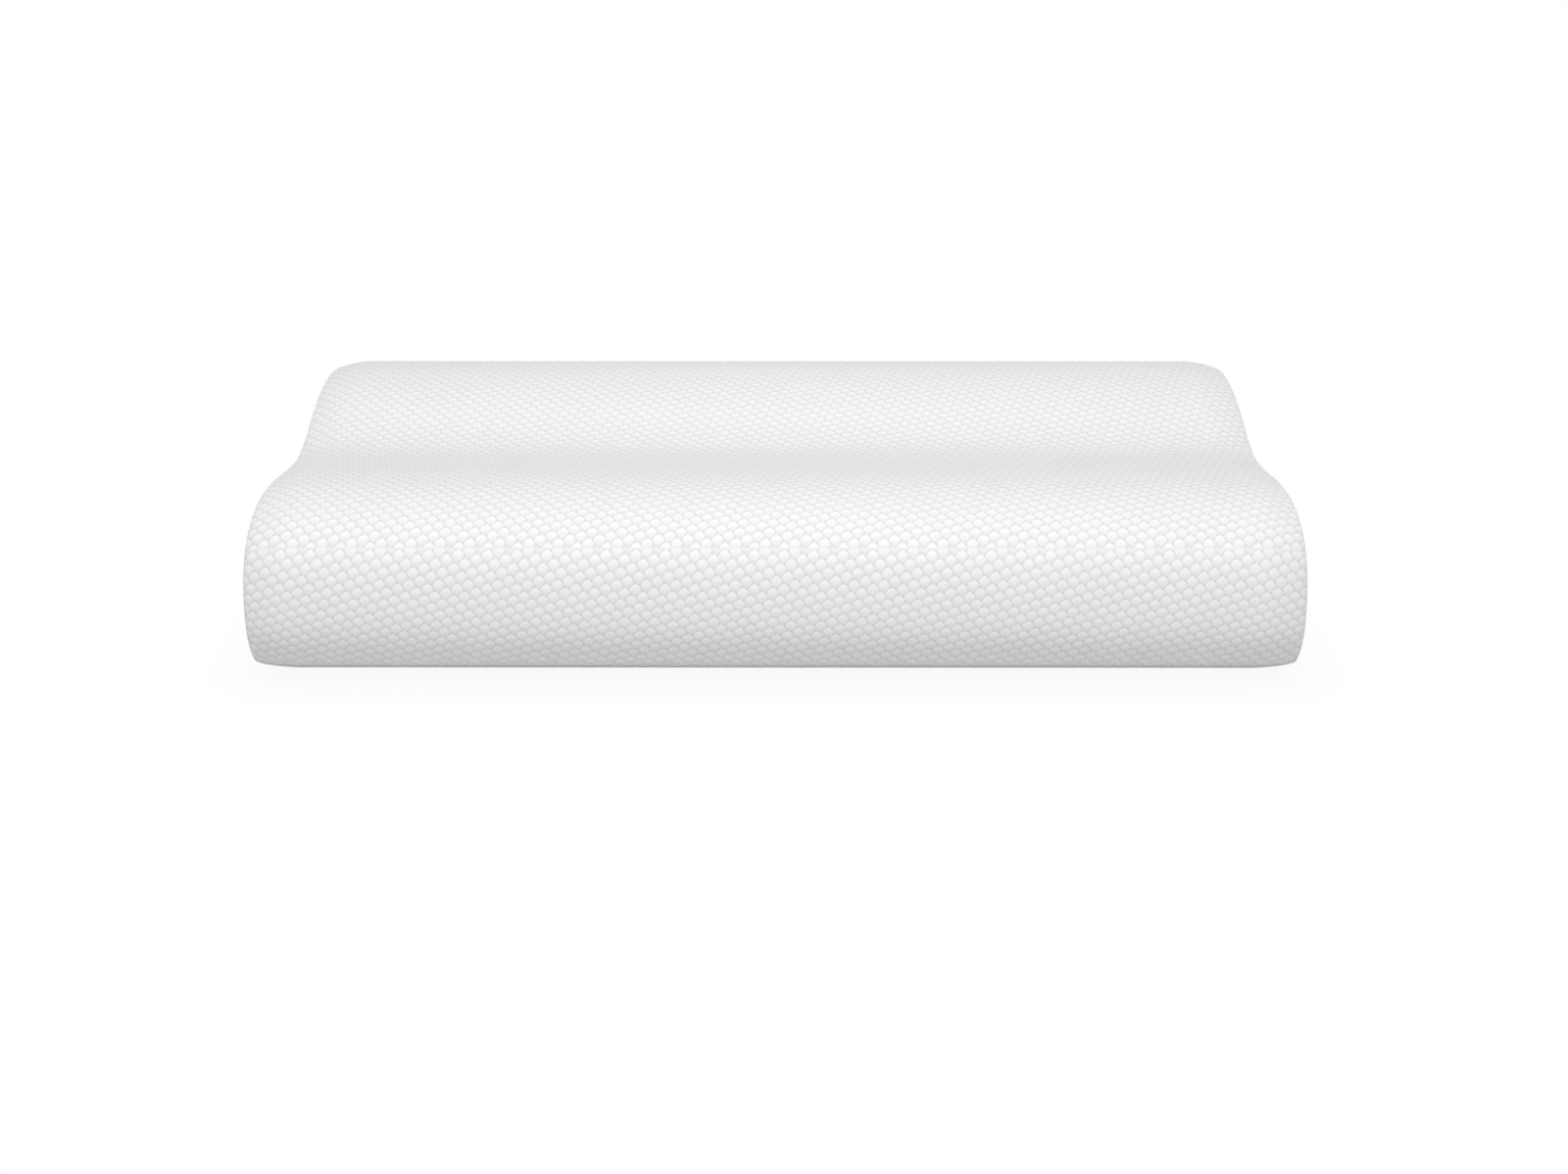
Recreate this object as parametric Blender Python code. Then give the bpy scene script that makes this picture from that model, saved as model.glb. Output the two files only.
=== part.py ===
"""Contour pillow: one filled cushion with a high back lobe, a low front lobe and a shallow valley.

Metres, +Z up. The origin is the middle of the base, which rests on the surface. X runs along the
600 mm width, and the low lobe faces -Y.
"""

import math

import bmesh
import bpy
from mathutils import Vector
from mathutils.geometry import interpolate_bezier

MM = 0.001

# Overall width, from end face to end face, and depth, from front face to back face.
WIDTH = 600 * MM
DEPTH = 350 * MM

# The wave section in millimetres and degrees: distance back from the front face, height above the
# base, and the heading of the cover there. Heading 90 is straight up, 0 is level towards the back
# and -90 is straight down. It starts under the front lobe and ends under the back lobe.
SECTION = (
    # name, back, height, heading
    ("base_front", 33.0, 0.0, 180.0),
    ("toe", 13.5, 8.5, 136.0),
    ("front_face", 0.0, 40.0, 90.0),
    ("front_seam", 15.0, 78.5, 45.0),
    ("brow", 35.5, 91.0, 21.0),
    ("front_crest", 73.0, 97.5, 0.0),
    ("fall", 112.0, 94.5, -8.0),
    ("valley", 162.0, 89.5, 0.0),
    ("rise", 205.0, 99.0, 19.0),
    ("back_crest", 276.5, 112.0, 0.0),
    ("back_shoulder", 336.0, 88.0, -51.0),
    ("back_face", 350.0, 44.0, -90.0),
    ("back_toe", 332.5, 5.5, -147.0),
    ("base_back", 310.0, 0.0, -180.0),
)
SECTION_STEP = 8 * MM
BASE_STEPS = 12

# At each end the cover rolls over a soft shoulder and is drawn in to the flat end panel. The draw
# is less under the pillow, where its weight presses the cover flat.
SHOULDER_LENGTH = 24 * MM
SHOULDER_DRAW = 6.2 * MM
BASE_DRAW = 3 * MM
SHOULDER_POWER = 1.5
SHOULDER_STEPS = 8

# White knitted cover.
COVER_COLOUR = (0.86, 0.86, 0.86, 1.0)
COVER_ROUGHNESS = 0.85


def clear_scene():
    for item in list(bpy.data.objects):
        bpy.data.objects.remove(item, do_unlink=True)


def station(row):
    """Return a station of the section as its point in (Y, Z) and its heading as a unit vector."""
    _, back, height, heading = row
    angle = math.radians(heading)
    point = Vector((back * MM - DEPTH / 2, height * MM))
    return point, Vector((math.cos(angle), math.sin(angle)))


def arc_handle(chord, turn):
    """Length of a curve handle that bends a span as nearly as a round arc would."""
    if abs(turn) < 1e-6:
        return chord / 3
    return chord * (4 / 3) * math.tan(turn / 4) / (2 * math.sin(turn / 2))


def section_outline():
    """Points of the closed section in (Y, Z), up the front, over both lobes and along the base."""
    outline = []
    for row, following in zip(SECTION, SECTION[1:]):
        start, leaving = station(row)
        end, arriving = station(following)
        turn = math.radians(row[3] - following[3])
        reach = arc_handle((end - start).length, turn)
        steps = max(3, round((end - start).length / SECTION_STEP))
        span = interpolate_bezier(
            start, start + leaving * reach, end - arriving * reach, end, steps + 1
        )
        outline.extend(span[:-1])
    base_back, _ = station(SECTION[-1])
    base_front, _ = station(SECTION[0])
    for step in range(BASE_STEPS):
        outline.append(base_back.lerp(base_front, step / BASE_STEPS))
    return [Vector((point[0], point[1])) for point in outline]


def outward_normals(outline):
    """Unit normals of the closed outline, which runs clockwise seen from the +X end."""
    normals = []
    for index, _ in enumerate(outline):
        before = outline[index - 1]
        after = outline[(index + 1) % len(outline)]
        along = (after - before).normalized()
        normals.append(Vector((-along.y, along.x)))
    return normals


def width_stations():
    """Places along X, each with how far its ring is drawn in, from 0 to 1 at the end panel."""
    one_end = []
    for step in range(SHOULDER_STEPS + 1):
        angle = math.pi / 2 * step / SHOULDER_STEPS
        outward = math.sin(angle) ** (2 / SHOULDER_POWER)
        drawn = 1 - math.cos(angle) ** (2 / SHOULDER_POWER)
        one_end.append((WIDTH / 2 - SHOULDER_LENGTH * (1 - outward), drawn))
    other_end = [(-place, drawn) for place, drawn in reversed(one_end)]
    return other_end + one_end


def draw_depth(normal):
    """Full draw where the cover faces forward, back or up, and less where it faces down."""
    facing_down = max(0.0, -normal.y)
    return SHOULDER_DRAW + (BASE_DRAW - SHOULDER_DRAW) * facing_down


def make_ring(mesh, place, drawn, outline, normals):
    ring = []
    for point, normal in zip(outline, normals):
        inner = point - normal * draw_depth(normal) * drawn
        ring.append(mesh.verts.new((place, inner.x, inner.y)))
    return ring


def skin_rings(mesh, ring, following):
    count = len(ring)
    for index in range(count):
        after = (index + 1) % count
        mesh.faces.new((ring[index], following[index], following[after], ring[after]))


def cover_material():
    material = bpy.data.materials.new("white_knit_cover")
    material.use_nodes = True
    shader = material.node_tree.nodes["Principled BSDF"]
    shader.inputs["Base Color"].default_value = COVER_COLOUR
    shader.inputs["Roughness"].default_value = COVER_ROUGHNESS
    shader.inputs["Metallic"].default_value = 0.0
    return material


def make_pillow():
    """Sweep the section along the width, drawn in over the two shoulders, and close both ends."""
    outline = section_outline()
    normals = outward_normals(outline)
    mesh = bmesh.new()
    rings = [make_ring(mesh, place, drawn, outline, normals) for place, drawn in width_stations()]
    for ring, following in zip(rings, rings[1:]):
        skin_rings(mesh, ring, following)
    mesh.faces.new(rings[0])
    mesh.faces.new(list(reversed(rings[-1])))
    bmesh.ops.recalc_face_normals(mesh, faces=mesh.faces)
    data = bpy.data.meshes.new("pillow")
    mesh.to_mesh(data)
    mesh.free()
    data.shade_smooth()
    data.set_sharp_from_angle(angle=math.radians(40))
    data.materials.append(cover_material())
    pillow = bpy.data.objects.new("pillow", data)
    bpy.context.scene.collection.objects.link(pillow)
    return pillow


clear_scene()
make_pillow()
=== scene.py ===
"""Contour pillow in a white scalloped knit cover, on a pale floor in soft studio light.

Metres, +Z up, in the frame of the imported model: X runs along the pillow's width, and its low lobe
faces -Y.
"""

import math

import bmesh
import bpy
import numpy as np
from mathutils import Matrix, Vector
from mathutils.geometry import delaunay_2d_cdt, interpolate_bezier


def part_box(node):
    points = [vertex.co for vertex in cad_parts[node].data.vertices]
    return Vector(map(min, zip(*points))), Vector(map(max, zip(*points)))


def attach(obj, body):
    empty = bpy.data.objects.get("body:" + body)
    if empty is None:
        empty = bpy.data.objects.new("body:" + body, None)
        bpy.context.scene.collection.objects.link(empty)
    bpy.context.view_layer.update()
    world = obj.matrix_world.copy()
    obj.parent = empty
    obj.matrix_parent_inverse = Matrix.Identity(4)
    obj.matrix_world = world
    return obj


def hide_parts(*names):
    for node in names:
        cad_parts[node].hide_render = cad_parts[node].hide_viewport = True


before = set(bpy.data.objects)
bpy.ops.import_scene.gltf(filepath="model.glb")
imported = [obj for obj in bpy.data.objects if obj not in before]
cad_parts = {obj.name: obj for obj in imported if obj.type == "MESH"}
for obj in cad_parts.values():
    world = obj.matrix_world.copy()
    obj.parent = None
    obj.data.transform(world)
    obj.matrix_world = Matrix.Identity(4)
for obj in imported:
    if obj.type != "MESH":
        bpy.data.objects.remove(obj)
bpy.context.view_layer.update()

MM = 0.001
LOW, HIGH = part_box("pillow")
WIDTH = HIGH.x - LOW.x
DEPTH = HIGH.y - LOW.y

# The wave section in millimetres and degrees: distance back from the front face, height above the
# base, and the heading of the cover there. Heading 90 is straight up, 0 is level towards the back
# and -90 is straight down. It starts under the front lobe and ends under the back lobe.
SECTION = (
    # name, back, height, heading
    ("base_front", 33.0, 0.0, 180.0),
    ("toe", 13.5, 8.5, 136.0),
    ("front_face", 0.0, 40.0, 90.0),
    ("front_seam", 15.0, 78.5, 45.0),
    ("brow", 35.5, 91.0, 21.0),
    ("front_crest", 73.0, 97.5, 0.0),
    ("fall", 112.0, 94.5, -8.0),
    ("valley", 162.0, 89.5, 0.0),
    ("rise", 205.0, 99.0, 19.0),
    ("back_crest", 276.5, 112.0, 0.0),
    ("back_shoulder", 336.0, 88.0, -51.0),
    ("back_face", 350.0, 44.0, -90.0),
    ("back_toe", 332.5, 5.5, -147.0),
    ("base_back", 310.0, 0.0, -180.0),
)
SPAN_STEPS = 48

# The seams along both edges of the back band and under the front band lie where the cover is half
# turned from level to upright. The search for them stays this far from the section's ends.
SEAM_HEADING = 45
CURVE_END_MARGIN = 2 * MM

# A span of the section that turns by less than this, in radians, is straight.
STRAIGHT_TURN = 1e-6

# The rolled shoulder at each end, and how far it is drawn in to the end panel. The draw is less
# under the pillow.
SHOULDER_LENGTH = 24 * MM
SHOULDER_DRAW = 6.2 * MM
BASE_DRAW = 3 * MM
SHOULDER_POWER = 1.5

# The knit. One square repeat holds eight puffs, a row and a column of them stepping along two
# lattice vectors, given in eighths of a repeat. A puff's cell has six corners, in eighths too.
REPEAT = WIDTH / 36
STEP_ALONG = np.array((3.0, 1.0)) / 8
STEP_ACROSS = np.array((2.0, -2.0)) / 8
CELL_CORNERS = np.array(
    ((1.75, -0.25), (1.25, 1.25), (-0.25, 1.75), (-1.75, 0.25), (-1.25, -1.25), (0.25, -1.75))
) / 8

# Each puff rises as a low dome: its height, its radius in repeats and how flat its top is. A ring
# inside the cell, at this share of its size, carries it.
PUFF_RISE = 0.15 * MM
PUFF_DOME = 0.19
DOME_POWER = 4
PUFF_RING = 0.66

# A puff's outline, in repeats from its centre: round at the top and more pointed at the bottom.
PUFF_SIDE = 0.178
PUFF_TOP = 0.150
PUFF_BOTTOM = 0.200
SIDE_POWER = 1.45
TOP_POWER = 1.6
BOTTOM_POWER = 1.25

# A puff's centre on the upper panel (along the width, back from the front face), on the front band
# (along the width, above the base) and on an end panel (back from the middle, above the base).
UPPER_PUFF = (-115.9 * MM, 19.1 * MM)
FRONT_PUFF = (-111.8 * MM, 75.1 * MM)
END_PUFF = (0.0, 50 * MM)

# The upper panel is stretched a little from front to back, and its puffs with it.
UPPER_STRETCH = 1.0056

# Seams: each panel stops short of the seam line, and the cover is pinched beside it.
SEAM_GAP = 0.4 * MM
SEAM_PINCH = 0.20 * MM
SEAM_REACH = 1.6 * MM

# The panels round the pillow stop this far short of its end faces.
END_RIM = 0.7 * MM

# Small distances: a point this near a panel's edge is moved onto it, points this close together are
# one point, a point this near an edge is on it, the step that finds the surface's slope, and how
# exactly the triangles between the points are found.
SNAP = 0.45 * MM
SAME_PLACE = 0.01 * MM
ON_EDGE = 0.001 * MM
SLOPE_STEP = 0.2 * MM
TRIANGLE_PRECISION = 1e-6

# The search for a panel's puffs: lattice steps to a repeat, spare steps, and how far past the
# panel's edge a puff's centre may lie, in repeats.
SEARCH_STEPS = 4
SPARE_STEPS = 8
CELL_REACH = 0.25

# A panel is laid out flat across its width and along Y or Z, which are the curve's two columns.
FLAT_Y = 0
FLAT_Z = 1

# The seams between panels take the colour of this place on a puff's lower side, in repeats from its
# centre:
# a faint line of painted shade. The line round an end panel takes the colour of a groove: a thin
# dark line of painted shade along the cover's edge.
SEAM_SHADE_PLACE = (0.0, -0.1)
RIM_SHADE_PLACE = (0.22, -0.03)

# Each end panel swells a little from its rim, and its rim has a point at each step.
END_CROWN = 2.0 * MM
END_CROWN_REACH = 18 * MM
END_RIM_STEP = 4 * MM

# Rows and columns of the base.
BASE_SHOULDER_STEPS = 8
BASE_MIDDLE_STEPS = 14
BASE_CURVE_STEPS = 9
BASE_FLAT_STEPS = 11


# The surface of the pillow


def station(row):
    """Return a station of the section as its point in (Y, Z) and its heading as a unit vector."""
    _, back, height, heading = row
    angle = math.radians(heading)
    point = Vector((back * MM - DEPTH / 2, height * MM))
    return point, Vector((math.cos(angle), math.sin(angle)))


def arc_handle(chord, turn):
    """Length of a curve handle that bends a span as nearly as a round arc would."""
    if abs(turn) < STRAIGHT_TURN:
        return chord / 3
    return chord * (4 / 3) * math.tan(turn / 4) / (2 * math.sin(turn / 2))


def section_curve():
    """Fine points of the section in (Y, Z), from under the front lobe to under the back lobe."""
    points = []
    for row, following in zip(SECTION, SECTION[1:]):
        start, leaving = station(row)
        end, arriving = station(following)
        reach = arc_handle((end - start).length, math.radians(row[3] - following[3]))
        span = interpolate_bezier(
            start, start + leaving * reach, end - arriving * reach, end, SPAN_STEPS + 1
        )
        points.extend(span[:-1])
    points.append(station(SECTION[-1])[0])
    return np.array([(point[0], point[1]) for point in points])


def along_curve(points):
    """Distance along the curve and outward unit normals at each of its points."""
    tangent = np.gradient(points, axis=0)
    tangent[0] = (-1.0, 0.0)
    tangent[-1] = (-1.0, 0.0)
    tangent /= np.linalg.norm(tangent, axis=1)[:, None]
    length = np.concatenate(([0.0], np.cumsum(np.linalg.norm(np.diff(points, axis=0), axis=1))))
    return length, np.stack((-tangent[:, 1], tangent[:, 0]), axis=1)


CURVE = section_curve()
CURVE_LENGTH, CURVE_NORMAL = along_curve(CURVE)
HEADING = np.degrees(np.arctan2(-CURVE_NORMAL[:, 0], CURVE_NORMAL[:, 1]))


def drawn_in(along):
    """Share of the full draw at a place along the width: none in the middle, all at the ends."""
    reach = (np.abs(along) - (WIDTH / 2 - SHOULDER_LENGTH)) / SHOULDER_LENGTH
    reach = np.clip(reach, 0.0, 1.0)
    return 1 - (1 - reach**SHOULDER_POWER) ** (1 / SHOULDER_POWER)


def surface(along, length):
    """Points of the plain cover at places along the width and lengths along the section."""
    point = np.stack([np.interp(length, CURVE_LENGTH, CURVE[:, i]) for i in (0, 1)], axis=1)
    normal = np.stack([np.interp(length, CURVE_LENGTH, CURVE_NORMAL[:, i]) for i in (0, 1)], axis=1)
    draw = SHOULDER_DRAW + (BASE_DRAW - SHOULDER_DRAW) * np.clip(-normal[:, 1], 0, 1)
    inner = point - normal * (draw * drawn_in(along))[:, None]
    return np.column_stack((along, inner))


def surface_normal(along, length):
    """Outward unit normals of the plain cover at the same places as its points."""
    towards_back = surface(along, length + SLOPE_STEP) - surface(along, length - SLOPE_STEP)
    towards_right = surface(along + SLOPE_STEP, length) - surface(along - SLOPE_STEP, length)
    normal = np.cross(towards_right, towards_back)
    return normal / np.linalg.norm(normal, axis=1)[:, None]


def length_where_heading(angle, low, high):
    """Length along the section, between two lengths, where the cover has this heading."""
    inside = (CURVE_LENGTH >= low) & (CURVE_LENGTH <= high)
    return float(np.interp(-angle, -HEADING[inside], CURVE_LENGTH[inside]))


def length_at(name):
    """Length along the section at a station."""
    names = [row[0] for row in SECTION]
    return CURVE_LENGTH[names.index(name) * SPAN_STEPS]


# The knit's relief


def to_lattice(pattern):
    """Offsets, in lattice steps, of pattern places from the nearest puff's centre.

    The two sums undo STEP_ALONG and STEP_ACROSS.
    """
    row = 2 * (pattern[:, 0] + pattern[:, 1])
    column = pattern[:, 0] - 3 * pattern[:, 1]
    return row - np.round(row), column - np.round(column)


def puff_height(pattern):
    """Height of the cover, from 0 in a groove to 1 on a puff, at places given in repeats."""
    row, column = to_lattice(pattern)
    place = row[:, None] * STEP_ALONG + column[:, None] * STEP_ACROSS
    reach = np.linalg.norm(place, axis=1) / PUFF_DOME
    return np.clip(1 - reach**DOME_POWER, 0, 1)


class PatternMesh:
    """Points, constraint edges and their indices, for one flat panel of puffs."""

    def __init__(self):
        self.points = []
        self.edges = set()
        self.known = {}

    def point(self, place):
        """The index of the point at a place, which is added if there is none."""
        key = (round(place[0] / SAME_PLACE), round(place[1] / SAME_PLACE))
        if key not in self.known:
            self.known[key] = len(self.points)
            self.points.append(Vector((place[0], place[1])))
        return self.known[key]

    def loop(self, places):
        """Add a closed loop of edges that the triangles must keep."""
        indices = [self.point(place) for place in places]
        for one, other in zip(indices, indices[1:] + indices[:1]):
            if one != other:
                self.edges.add((min(one, other), max(one, other)))


def puff_cells(anchor, low, high):
    """Centres of the puffs whose cells reach into the rectangle from low to high."""
    margin = CELL_REACH * REPEAT
    centres = []
    reach = int(max(high[0] - low[0], high[1] - low[1]) / REPEAT * SEARCH_STEPS) + SPARE_STEPS
    for row in range(-reach, reach):
        for column in range(-reach, reach):
            x, y = np.array(anchor) + (row * STEP_ALONG + column * STEP_ACROSS) * REPEAT
            if low[0] - margin < x < high[0] + margin and low[1] - margin < y < high[1] + margin:
                centres.append((x, y))
    return centres


def snapped(place, low, high):
    """Move a point that nearly meets the rectangle's edge onto it."""
    place = np.array(place)
    for axis in (0, 1):
        for bound in (low[axis], high[axis]):
            if abs(place[axis] - bound) < SNAP:
                place[axis] = bound
    return place


def panel_triangles(anchor, outline, straight):
    """Triangulate one panel of puffs, cut to its outline. Returns its flat points and triangles.

    A straight panel is a rectangle, and points that nearly meet its edges are moved onto them.
    """
    outline = np.array(outline)
    low, high = outline.min(axis=0), outline.max(axis=0)
    mesh = PatternMesh()
    for centre in puff_cells(anchor, low, high):
        rings = [centre + CELL_CORNERS * REPEAT, centre + CELL_CORNERS * REPEAT * PUFF_RING]
        if straight:
            rings = [[snapped(place, low, high) for place in ring] for ring in rings]
        for ring in rings:
            mesh.loop(ring)
        mesh.point(snapped(centre, low, high) if straight else centre)
    mesh.loop(outline)
    points, _, faces, _, _, _ = delaunay_2d_cdt(
        mesh.points, list(mesh.edges), [], 0, TRIANGLE_PRECISION
    )
    points = np.array([(point.x, point.y) for point in points])
    faces = np.array(faces)
    faces = faces[inside_outline(points[faces].mean(axis=1), outline)]
    used, faces = np.unique(faces, return_inverse=True)
    return points[used], faces.reshape(-1, 3)


def inside_outline(places, outline):
    """Whether each place lies inside the closed outline, by counting the edges to its right."""
    inside = np.zeros(len(places), bool)
    for start, end in zip(outline, np.roll(outline, -1, axis=0)):
        crosses = (start[1] > places[:, 1]) != (end[1] > places[:, 1])
        if start[1] != end[1]:
            share = (places[:, 1] - start[1]) / (end[1] - start[1])
            inside ^= crosses & (places[:, 0] < start[0] + share * (end[0] - start[0]))
    return inside


# The panels


class Cover:
    """The growing mesh: places, triangles and pattern coordinates of every panel and seam."""

    def __init__(self):
        self.places = []
        self.count = 0
        self.triangles = []
        self.patterns = []

    def add_points(self, places):
        """Add points and return the index of the first."""
        first = self.count
        self.places.append(places)
        self.count += len(places)
        return first

    def add_triangles(self, triangles, patterns):
        """Triangles of point indices, with the pattern coordinates of each of their corners."""
        self.triangles.append(triangles)
        self.patterns.append(patterns)


def seam_pinch(distance):
    """How far the cover is drawn in at a distance from a seam."""
    return SEAM_PINCH * np.exp(-((distance / SEAM_REACH) ** 2))


def section_panel(cover, start, end, flat_axis, anchor, facing=1, stretch=1.0):
    """A panel of puffs between two lengths of the section, laid out flat along Y or along Z.

    Facing is -1 for the panel at the back, which is laid out as seen from behind. Returns the
    panel's four edges as point indices, by name.
    """
    inside = (CURVE_LENGTH > start) & (CURVE_LENGTH < end)
    lengths = np.concatenate(([start], CURVE_LENGTH[inside], [end]))
    flats = np.interp(lengths, CURVE_LENGTH, CURVE[:, flat_axis])
    flats = anchor[1] + (flats - anchor[1]) / stretch
    low, high = sorted((flats[0], flats[-1]))
    half = WIDTH / 2 - END_RIM
    outline = ((-half, low), (half, low), (half, high), (-half, high))
    points, triangles = panel_triangles(anchor, outline, True)
    pattern = (points - anchor) / REPEAT
    order = np.argsort(flats)
    length = np.interp(points[:, 1], flats[order], lengths[order])
    along = points[:, 0] * facing
    rise = puff_height(pattern) * PUFF_RISE
    rise -= seam_pinch(length - start) + seam_pinch(end - length)
    places = surface(along, length) + surface_normal(along, length) * rise[:, None]
    first = cover.add_points(places)
    cover.add_triangles(triangles + first, pattern[triangles])
    return panel_edges(along, length, first, half, start, end)


def panel_edges(along, length, first, half, start, end):
    """The point indices of a panel's edges, in order.

    Its start and end seams run from left to right, and its left and right ends from start to end.
    """
    edges = {}
    for name, value, target, order in (
        ("start", length, start, along),
        ("end", length, end, along),
        ("left", along, -half, length),
        ("right", along, half, length),
    ):
        on_edge = np.nonzero(np.abs(value - target) < ON_EDGE)[0]
        edges[name] = list(on_edge[np.argsort(order[on_edge])] + first)
    return edges


def base_columns():
    """Places along the width for the base's columns, closer together over the rolled shoulders."""
    turn = np.linspace(0, np.pi / 2, BASE_SHOULDER_STEPS + 1)[:-1]
    shoulder = WIDTH / 2 - SHOULDER_LENGTH * (1 - np.sin(turn))
    shoulder = np.append(shoulder, WIDTH / 2 - END_RIM)
    middle = np.linspace(-shoulder[0], shoulder[0], BASE_MIDDLE_STEPS + 1)[1:-1]
    return np.concatenate((-shoulder[::-1], middle, shoulder))


def base_panel(cover, start, end):
    """The base, from under the back lobe to under the front lobe, flat where the pillow rests.

    Returns its four edges as point indices, by name.
    """
    along = base_columns()
    back = np.linspace(start, CURVE_LENGTH[-1], BASE_CURVE_STEPS + 1)
    front = np.linspace(0, end, BASE_CURVE_STEPS + 1)
    back_rows = [surface(along, np.full(len(along), length)) for length in back]
    front_rows = [surface(along, np.full(len(along), length)) for length in front]
    shares = np.linspace(0, 1, BASE_FLAT_STEPS + 1)[1:-1]
    flat_rows = [back_rows[-1] * (1 - share) + front_rows[0] * share for share in shares]
    rows = back_rows + flat_rows + front_rows
    places = np.concatenate(rows)
    first = cover.add_points(places)
    width = len(along)
    corner = (np.arange(len(rows) - 1)[:, None] * width + np.arange(width - 1)).reshape(-1)
    quads = np.stack((corner, corner + 1, corner + width + 1, corner + width), axis=1)
    triangles = np.concatenate((quads[:, [0, 1, 2]], quads[:, [0, 2, 3]]))
    pattern = (places[:, :2] * (1, -1)) / REPEAT
    cover.add_triangles(triangles + first, pattern[triangles])
    grid = np.arange(len(places)).reshape(len(rows), width) + first
    return {
        "start": list(grid[0]),
        "end": list(grid[-1]),
        "left": list(grid[:, 0]),
        "right": list(grid[:, -1]),
    }


def end_panel(cover, side):
    """The panel of puffs that closes one end. Returns its rim as a closed loop."""
    length = np.arange(0, CURVE_LENGTH[-1], END_RIM_STEP)
    rim = surface(np.full(len(length), side * WIDTH / 2), length)[:, 1:]
    base_steps = int(np.linalg.norm(rim[-1] - rim[0]) / END_RIM_STEP)
    base = np.linspace(rim[-1], rim[0], base_steps + 1)[1:-1]
    outline = np.concatenate((rim, base)) * (side, 1)
    points, triangles = panel_triangles(END_PUFF, outline, False)
    pattern = (points - END_PUFF) / REPEAT
    rim_points = boundary_loop(triangles)
    to_rim = distance_to_loop(points, points[rim_points])
    rise = END_CROWN * (1 - np.exp(-to_rim / END_CROWN_REACH))
    rise += np.where(to_rim > 0, puff_height(pattern) * PUFF_RISE, 0.0)
    places = np.column_stack((side * (WIDTH / 2 + rise), points[:, 0] * side, points[:, 1]))
    first = cover.add_points(places)
    cover.add_triangles(triangles + first, pattern[triangles])
    return [index + first for index in rim_points]


def distance_to_loop(places, loop):
    """Distance from each place to the closed loop of straight lines."""
    least = np.full(len(places), np.inf)
    for start, end in zip(loop, np.roll(loop, -1, axis=0)):
        along = end - start
        share = np.clip((places - start) @ along / (along @ along), 0, 1)
        gap = places - start - share[:, None] * along
        least = np.minimum(least, np.linalg.norm(gap, axis=1))
    return np.where(least < ON_EDGE, 0.0, least)


def boundary_loop(triangles):
    """The point indices round the edge of a patch of triangles, in order."""
    directed = np.concatenate((triangles[:, [0, 1]], triangles[:, [1, 2]], triangles[:, [2, 0]]))
    pairs = set(map(tuple, directed.tolist()))
    following = {one: other for one, other in pairs if (other, one) not in pairs}
    start = min(following)
    loop = [start]
    while following[loop[-1]] != start:
        loop.append(following[loop[-1]])
    return loop


def zip_seam(cover, one, other, painted_shade_place=SEAM_SHADE_PLACE):
    """Join two rows of points with a strip of triangles, always by the shorter diagonal. The strip
    is coloured as one place on a puff, which paints a line of shade.
    """
    places = np.concatenate(cover.places)
    triangles = []
    i = j = 0
    while i < len(one) - 1 or j < len(other) - 1:
        if j == len(other) - 1:
            forward = True
        elif i == len(one) - 1:
            forward = False
        else:
            step_one = np.linalg.norm(places[one[i + 1]] - places[other[j]])
            step_other = np.linalg.norm(places[one[i]] - places[other[j + 1]])
            forward = step_one < step_other
        if forward:
            triangles.append((one[i], one[i + 1], other[j]))
            i += 1
        else:
            triangles.append((one[i], other[j + 1], other[j]))
            j += 1
    cover.add_triangles(np.array(triangles), np.full((len(triangles), 3, 2), painted_shade_place))


def turning(loop):
    """Twice the area inside a closed flat loop, negative if it runs clockwise."""
    following = np.roll(loop, -1, axis=0)
    return np.sum(loop[:, 0] * following[:, 1] - following[:, 0] * loop[:, 1])


def zip_rim(cover, tube, rim):
    """Join the closed end of the tube to an end panel's rim."""
    places = np.concatenate(cover.places)
    tube_places = places[tube][:, 1:]
    rim_places = places[rim][:, 1:]
    if turning(tube_places) * turning(rim_places) < 0:
        rim = rim[::-1]
        rim_places = rim_places[::-1]
    nearest = int(np.argmin(np.linalg.norm(rim_places - tube_places[0], axis=1)))
    rim = rim[nearest:] + rim[:nearest]
    # The rim strip takes the colour of a groove: a thin dark line of painted shade round the end.
    zip_seam(cover, tube + tube[:1], rim + rim[:1], RIM_SHADE_PLACE)


def build_cover():
    """Every panel, the four seams between them and the two rims."""
    cover = Cover()
    curve_end = CURVE_LENGTH[-1] - CURVE_END_MARGIN
    front_seam = length_at("front_seam")
    back_seam = length_where_heading(
        -SEAM_HEADING, length_at("back_crest"), length_at("back_face")
    )
    lower_back = length_where_heading(SEAM_HEADING - 180, length_at("back_face"), curve_end)
    lower_front = length_where_heading(
        180 - SEAM_HEADING, CURVE_END_MARGIN, length_at("front_face")
    )
    upper_anchor = (UPPER_PUFF[0], UPPER_PUFF[1] - DEPTH / 2)
    upper = section_panel(
        cover,
        front_seam + SEAM_GAP,
        back_seam - SEAM_GAP,
        FLAT_Y,
        upper_anchor,
        stretch=UPPER_STRETCH,
    )
    front = section_panel(cover, lower_front + SEAM_GAP, front_seam - SEAM_GAP, FLAT_Z, FRONT_PUFF)
    back = section_panel(
        cover, back_seam + SEAM_GAP, lower_back - SEAM_GAP, FLAT_Z, FRONT_PUFF, facing=-1
    )
    base = base_panel(cover, lower_back + SEAM_GAP, lower_front - SEAM_GAP)
    zip_seam(cover, front["end"], upper["start"])
    zip_seam(cover, upper["end"], back["start"])
    zip_seam(cover, back["end"], base["start"])
    zip_seam(cover, base["end"], front["start"])
    for side, name in ((-1, "left"), (1, "right")):
        tube = front[name] + upper[name] + back[name] + base[name]
        zip_rim(cover, tube, end_panel(cover, side))
    return cover


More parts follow.
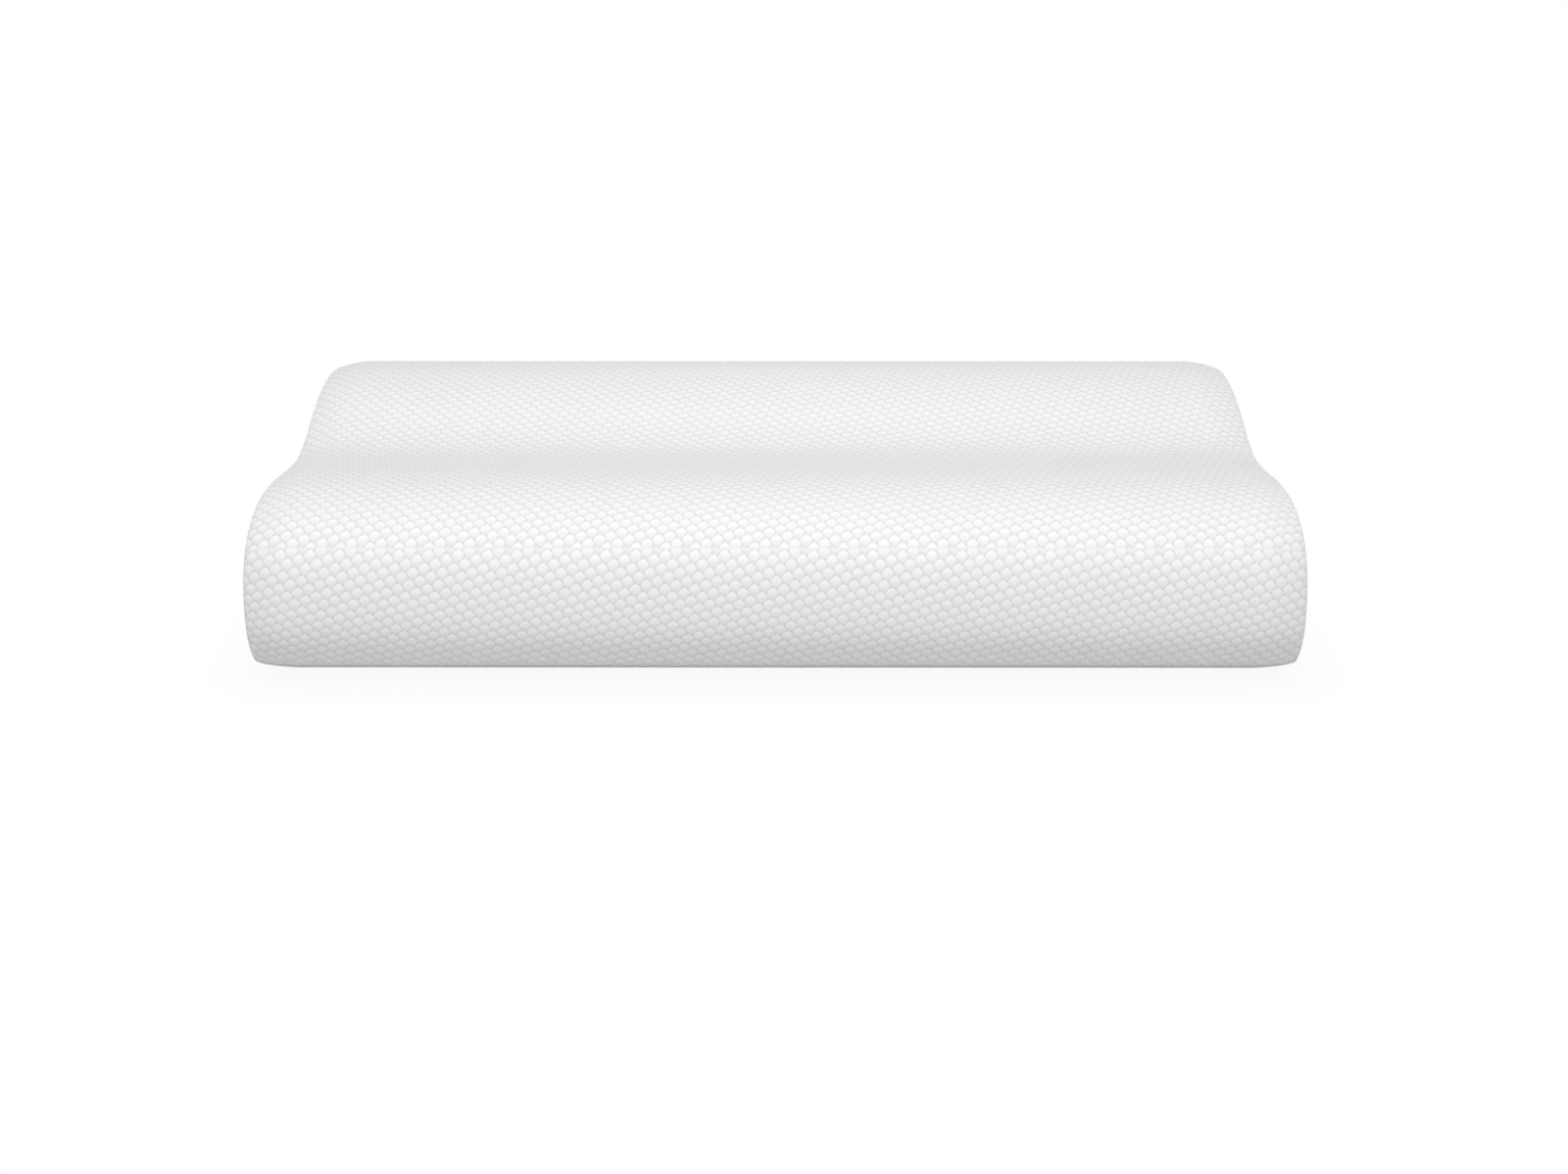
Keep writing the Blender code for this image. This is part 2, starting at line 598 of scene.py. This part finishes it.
def cover_object(cover):
    """Turn the panels and seams into one closed mesh with its pattern coordinates."""
    places = np.concatenate(cover.places)
    triangles = np.concatenate(cover.triangles)
    patterns = np.concatenate(cover.patterns).reshape(-1, 2)
    data = bpy.data.meshes.new("pillow_cover")
    data.from_pydata(places.tolist(), [], triangles.tolist())
    pattern = data.uv_layers.new(name="knit")
    pattern.data.foreach_set("uv", patterns.astype(np.float32).reshape(-1))
    work = bmesh.new()
    work.from_mesh(data)
    bmesh.ops.recalc_face_normals(work, faces=work.faces)
    work.to_mesh(data)
    work.free()
    data.shade_smooth()
    piece = bpy.data.objects.new("pillow_cover", data)
    bpy.context.scene.collection.objects.link(piece)
    return piece


# Materials


class Value:
    """A number in a material's nodes, so that a formula can be written as Python arithmetic."""

    def __init__(self, graph, socket):
        self.graph = graph
        self.socket = socket

    def math(self, operation, *others):
        return self.graph.math(operation, self, *others)

    def __add__(self, other):
        return self.math("ADD", other)

    def __radd__(self, other):
        return self.graph.math("ADD", other, self)

    def __sub__(self, other):
        return self.math("SUBTRACT", other)

    def __rsub__(self, other):
        return self.graph.math("SUBTRACT", other, self)

    def __mul__(self, other):
        return self.math("MULTIPLY", other)

    def __rmul__(self, other):
        return self.graph.math("MULTIPLY", other, self)

    def __truediv__(self, other):
        return self.math("DIVIDE", other)


class Graph:
    """The nodes of one new material, or of the node tree it is given."""

    def __init__(self, name, tree=None):
        if tree is None:
            self.material = bpy.data.materials.new(name)
            self.material.use_nodes = True
            tree = self.material.node_tree
        self.tree = tree
        self.tree.nodes.clear()

    def node(self, kind, settings=None, **sockets):
        """Make a node. A socket is named, or numbered as in i6 where names repeat."""
        made = self.tree.nodes.new(kind)
        for name, value in (settings or {}).items():
            setattr(made, name, value)
        for name, value in sockets.items():
            key = int(name[1:]) if name[1:].isdigit() else name.replace("_", " ")
            self.feed(made.inputs[key], value)
        return made

    def feed(self, socket, value):
        """Link a value to a socket, or set it there if it is a plain number or colour."""
        if isinstance(value, Value):
            value = value.socket
        if isinstance(value, bpy.types.NodeSocket):
            self.tree.links.new(value, socket)
        else:
            socket.default_value = value

    def math(self, operation, *values):
        made = self.node("ShaderNodeMath", {"operation": operation})
        for socket, value in zip(made.inputs, values):
            self.feed(socket, value)
        return Value(self, made.outputs[0])

    def smooth(self, value, low, high):
        """Rise smoothly from 0 to 1 as the value goes from low to high."""
        made = self.node(
            "ShaderNodeMapRange",
            {"interpolation_type": "SMOOTHSTEP"},
            Value=value,
            From_Min=low,
            From_Max=high,
        )
        return Value(self, made.outputs["Result"])

    def mix(self, factor, one, other):
        made = self.node("ShaderNodeMix", {"data_type": "RGBA"}, i0=factor, i6=one, i7=other)
        return made.outputs[2]


# The knit's white at a puff's centre, and the grey of its painted shade in the grooves and on each
# puff's lower side.
PUFF_WHITE = (0.97, 0.97, 0.97, 1.0)
PAINTED_SHADE_GREY = (0.59, 0.59, 0.59, 1.0)

# Share of the grey: at a puff's centre, added in a groove as painted shade, taken away for each
# repeat up a puff as painted shade that darkens each puff's lower side, and the random spread that
# the clouds and the fuzz give it.
PUFF_SHADE = 0.22
PAINTED_GROOVE_SHADE = 0.32
PAINTED_FALL_SHADE = 1.15
CLOUD_SHADE = 0.05
FUZZ_SHADE = 0.04

# Stitches to a repeat, and how much of a groove's edge follows their steps.
COURSES = 30
STEPPED_SHARE = 0.6

# Where a groove starts and is full, and where a puff rolls off, by the outline's value.
GROOVE_START = 0.90
GROOVE_FULL = 1.25
ROLL_START = 0.5
ROLL_FULL = 1.35

# The fine relief in millimetres: a puff's roll, a groove, a course of stitches and the fuzz.
ROLL_RELIEF = 0.018
GROOVE_RELIEF = 0.010
COURSE_RELIEF = 0.006
FUZZ_RELIEF = 0.010

# Yarn fuzz and clouds of faint unevenness, in waves to a metre.
FUZZ_SCALE = 900.0
FUZZ_DETAIL = 3.0
FUZZ_ROUGHNESS = 0.6
CLOUD_SCALE = 28.0
CLOUD_DETAIL = 2.0
CLOUD_ROUGHNESS = 0.5

KNIT_ROUGHNESS = 0.72
KNIT_SHEEN = 0.05
SHEEN_ROUGHNESS = 0.5


def puff_place(across, up):
    """Place inside the nearest puff's cell, in repeats, as to_lattice finds it for the mesh."""
    row = 2 * (across + up)
    column = across - 3 * up
    row = row - row.math("ROUND")
    column = column - column.math("ROUND")
    right = row * STEP_ALONG[0] + column * STEP_ACROSS[0]
    above = row * STEP_ALONG[1] + column * STEP_ACROSS[1]
    return right, above


def puff_outline(right, above):
    """0 at the puff's centre, 1 on its outline and more in the grooves."""
    side = (right.math("ABSOLUTE") / PUFF_SIDE).math("POWER", SIDE_POWER)
    top = (above.math("MAXIMUM", 0.0) / PUFF_TOP).math("POWER", TOP_POWER)
    bottom = ((0 - above).math("MAXIMUM", 0.0) / PUFF_BOTTOM).math("POWER", BOTTOM_POWER)
    return side + top + bottom


def nearest_puff(across, up):
    """The outline value of the puff that a place belongs to, and how far above its centre it is.

    A puff's lower tip reaches past its cell, so the puff one step back is tried as well.
    """
    right, above = puff_place(across, up)
    own = puff_outline(right, above)
    tip = puff_outline(right + STEP_ACROSS[0], above + STEP_ACROSS[1])
    belongs = tip.math("LESS_THAN", own)
    return own.math("MINIMUM", tip), above + belongs * STEP_ACROSS[1]


def stitch_middle(place):
    """The middle of the stitch that a place is in."""
    return ((place * COURSES).math("FLOOR") + 0.5) / COURSES


def noise(graph, place, scale, detail, roughness):
    """Uneven values round zero, up to half above and below."""
    made = graph.node(
        "ShaderNodeTexNoise", None, Vector=place, Scale=scale, Detail=detail, Roughness=roughness
    )
    return Value(graph, made.outputs[0]) - 0.5


def knit_material():
    """White double knit: raised scallops, grooves darkened with painted shade and with stitched
    edges, painted shade on each puff's lower side, and a soft fuzz.
    """
    graph = Graph("white_scalloped_knit")
    knit = graph.node("ShaderNodeUVMap", {"uv_map": "knit"})
    split = graph.node("ShaderNodeSeparateXYZ", None, Vector=knit.outputs[0])
    across = Value(graph, split.outputs[0])
    up = Value(graph, split.outputs[1])

    # The stitches step the outline of each puff.
    stepped, _ = nearest_puff(stitch_middle(across), stitch_middle(up))
    smooth, above = nearest_puff(across, up)
    edge = stepped * STEPPED_SHARE + smooth * (1 - STEPPED_SHARE)
    groove = graph.smooth(edge, GROOVE_START, GROOVE_FULL)
    roll = graph.smooth(smooth, ROLL_START, ROLL_FULL)

    # Yarn: fine courses of V stitches, a little fuzz and faint large unevenness.
    chevron = (across * COURSES * 2).math("PINGPONG", 1.0)
    course = (up * (COURSES * 2 * math.pi) + chevron * math.pi).math("COSINE")
    place = graph.node("ShaderNodeTexCoord").outputs["Object"]
    fuzz = noise(graph, place, FUZZ_SCALE, FUZZ_DETAIL, FUZZ_ROUGHNESS)
    cloud = noise(graph, place, CLOUD_SCALE, CLOUD_DETAIL, CLOUD_ROUGHNESS)

    # Painted shade: darker in the grooves and towards each puff's lower side, plus random unevenness
    # from the clouds and the fuzz.
    shade = PUFF_SHADE + groove * PAINTED_GROOVE_SHADE - above * PAINTED_FALL_SHADE
    shade = shade + cloud * CLOUD_SHADE + fuzz * FUZZ_SHADE
    shade = shade.math("MAXIMUM", 0.0).math("MINIMUM", 1.0)
    colour = graph.mix(shade, PUFF_WHITE, PAINTED_SHADE_GREY)
    height = (1 - roll) * ROLL_RELIEF - groove * GROOVE_RELIEF
    height = height + course * COURSE_RELIEF + fuzz * FUZZ_RELIEF
    bump = graph.node("ShaderNodeBump", None, Height=height, Strength=1.0, Distance=MM)

    shader = graph.node(
        "ShaderNodeBsdfPrincipled",
        None,
        Base_Color=colour,
        Roughness=KNIT_ROUGHNESS,
        Normal=bump.outputs[0],
        Sheen_Weight=KNIT_SHEEN,
        Sheen_Roughness=SHEEN_ROUGHNESS,
    )
    output = graph.node("ShaderNodeOutputMaterial")
    graph.feed(output.inputs["Surface"], shader.outputs[0])
    return graph.material


def floor_material():
    """White to the camera, with a faint painted contact shadow, and a pale grey for the light it
    returns.
    """
    graph = Graph("pale_floor")
    bounce = graph.node("ShaderNodeBsdfDiffuse", None, Color=FLOOR_BOUNCE)
    contact = graph.node("ShaderNodeAmbientOcclusion", None, Distance=CONTACT_REACH)
    # The painted contact shadow: grey where the pillow is near, white further off.
    white = graph.mix(contact.outputs["AO"], CONTACT_SHADOW_GREY, FLOOR_WHITE)
    glow = graph.node("ShaderNodeEmission", None, Color=white)
    seen = graph.node("ShaderNodeLightPath").outputs["Is Camera Ray"]
    both = graph.node("ShaderNodeMixShader", None, i0=seen, i1=bounce.outputs[0], i2=glow.outputs[0])
    output = graph.node("ShaderNodeOutputMaterial")
    graph.feed(output.inputs["Surface"], both.outputs[0])
    return graph.material


# Floor, light and camera

FLOOR_SIZE = 14.0
FLOOR_DROP = 0.2 * MM

# The floor's grey for the light that it returns, its white to the camera, and the grey of a painted
# contact shadow right beside the pillow, which fades out over this reach.
FLOOR_BOUNCE = (0.74, 0.74, 0.74, 1.0)
FLOOR_WHITE = (1.0, 1.0, 1.0, 1.0)
CONTACT_SHADOW_GREY = (0.93, 0.93, 0.93, 1.0)
CONTACT_REACH = 40 * MM

# Two soft boxes above the pillow: their height above the front horizon in degrees, and power in
# watts.
BOXES = (
    # name, height, power
    ("soft_box_front", 60, 34.3),
    ("soft_box_back", 110, 17.0),
)
BOX_DISTANCE = 2.2
BOX_SIZE = (1.0, 0.7)
BOX_TARGET = Vector((0, 0, 50 * MM))

# A low glow round the horizon: its strength all round, what is added at both ends of the pillow,
# and how narrow it is.
GLOW = 1.5
END_GLOW = 5.0
GLOW_NARROW = 12

# The camera: its place, how far it looks down and to the left in degrees, and its lens and sensor
# width in millimetres.
CAMERA_PLACE = (6.8 * MM, -1311.2 * MM, 500.3 * MM)
CAMERA_PITCH = 21.14
CAMERA_TURN = 0.09
CAMERA_LENS = 50.0
CAMERA_SENSOR = 36.0


def make_floor():
    """A large plane just under the pillow."""
    bpy.ops.object.select_all(action="DESELECT")
    bpy.ops.mesh.primitive_plane_add(size=FLOOR_SIZE, location=(0, 0, -FLOOR_DROP))
    floor = bpy.context.object
    floor.name = "floor"
    floor.data.materials.append(floor_material())


def soft_box(name, height, power):
    """A rectangular lamp that faces the pillow."""
    lamp = bpy.data.lights.new(name, "AREA")
    lamp.shape = "RECTANGLE"
    lamp.size, lamp.size_y = BOX_SIZE
    lamp.energy = power
    light = bpy.data.objects.new(name, lamp)
    angle = math.radians(height)
    towards = Vector((0, -math.cos(angle), math.sin(angle)))
    light.location = BOX_TARGET + towards * BOX_DISTANCE
    light.rotation_euler = towards.to_track_quat("Z", "Y").to_euler()
    bpy.context.scene.collection.objects.link(light)


def make_world():
    """The studio round the pillow: white to the camera, with a soft light low on the pillow."""
    world = bpy.data.worlds.new("studio")
    world.use_nodes = True
    graph = Graph(None, world.node_tree)
    place = graph.node("ShaderNodeTexCoord").outputs["Generated"]
    split = graph.node("ShaderNodeSeparateXYZ", None, Vector=place)
    sideways = Value(graph, split.outputs[0])
    level = 1 - Value(graph, split.outputs[2]).math("ABSOLUTE")
    light = level.math("POWER", GLOW_NARROW) * (sideways * sideways * END_GLOW + GLOW)
    seen = Value(graph, graph.node("ShaderNodeLightPath").outputs["Is Camera Ray"])
    glow = graph.node("ShaderNodeBackground", None, Color=FLOOR_WHITE)
    graph.feed(glow.inputs["Strength"], light + seen * (1 - light))
    output = graph.node("ShaderNodeOutputWorld")
    graph.feed(output.inputs["Surface"], glow.outputs[0])
    bpy.context.scene.world = world


def make_camera():
    """The camera, at the photo's viewing angle."""
    lens = bpy.data.cameras.new("camera")
    lens.lens = CAMERA_LENS
    lens.sensor_width = CAMERA_SENSOR
    camera = bpy.data.objects.new("camera", lens)
    camera.location = CAMERA_PLACE
    camera.rotation_euler = (math.radians(90 - CAMERA_PITCH), 0, math.radians(CAMERA_TURN))
    bpy.context.scene.collection.objects.link(camera)
    bpy.context.scene.camera = camera


make_camera()
for box in BOXES:
    soft_box(*box)
make_world()
make_floor()
bpy.context.scene.view_settings.view_transform = "Standard"

pillow_cover = cover_object(build_cover())
pillow_cover.data.materials.append(knit_material())
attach(pillow_cover, "root")
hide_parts("pillow")
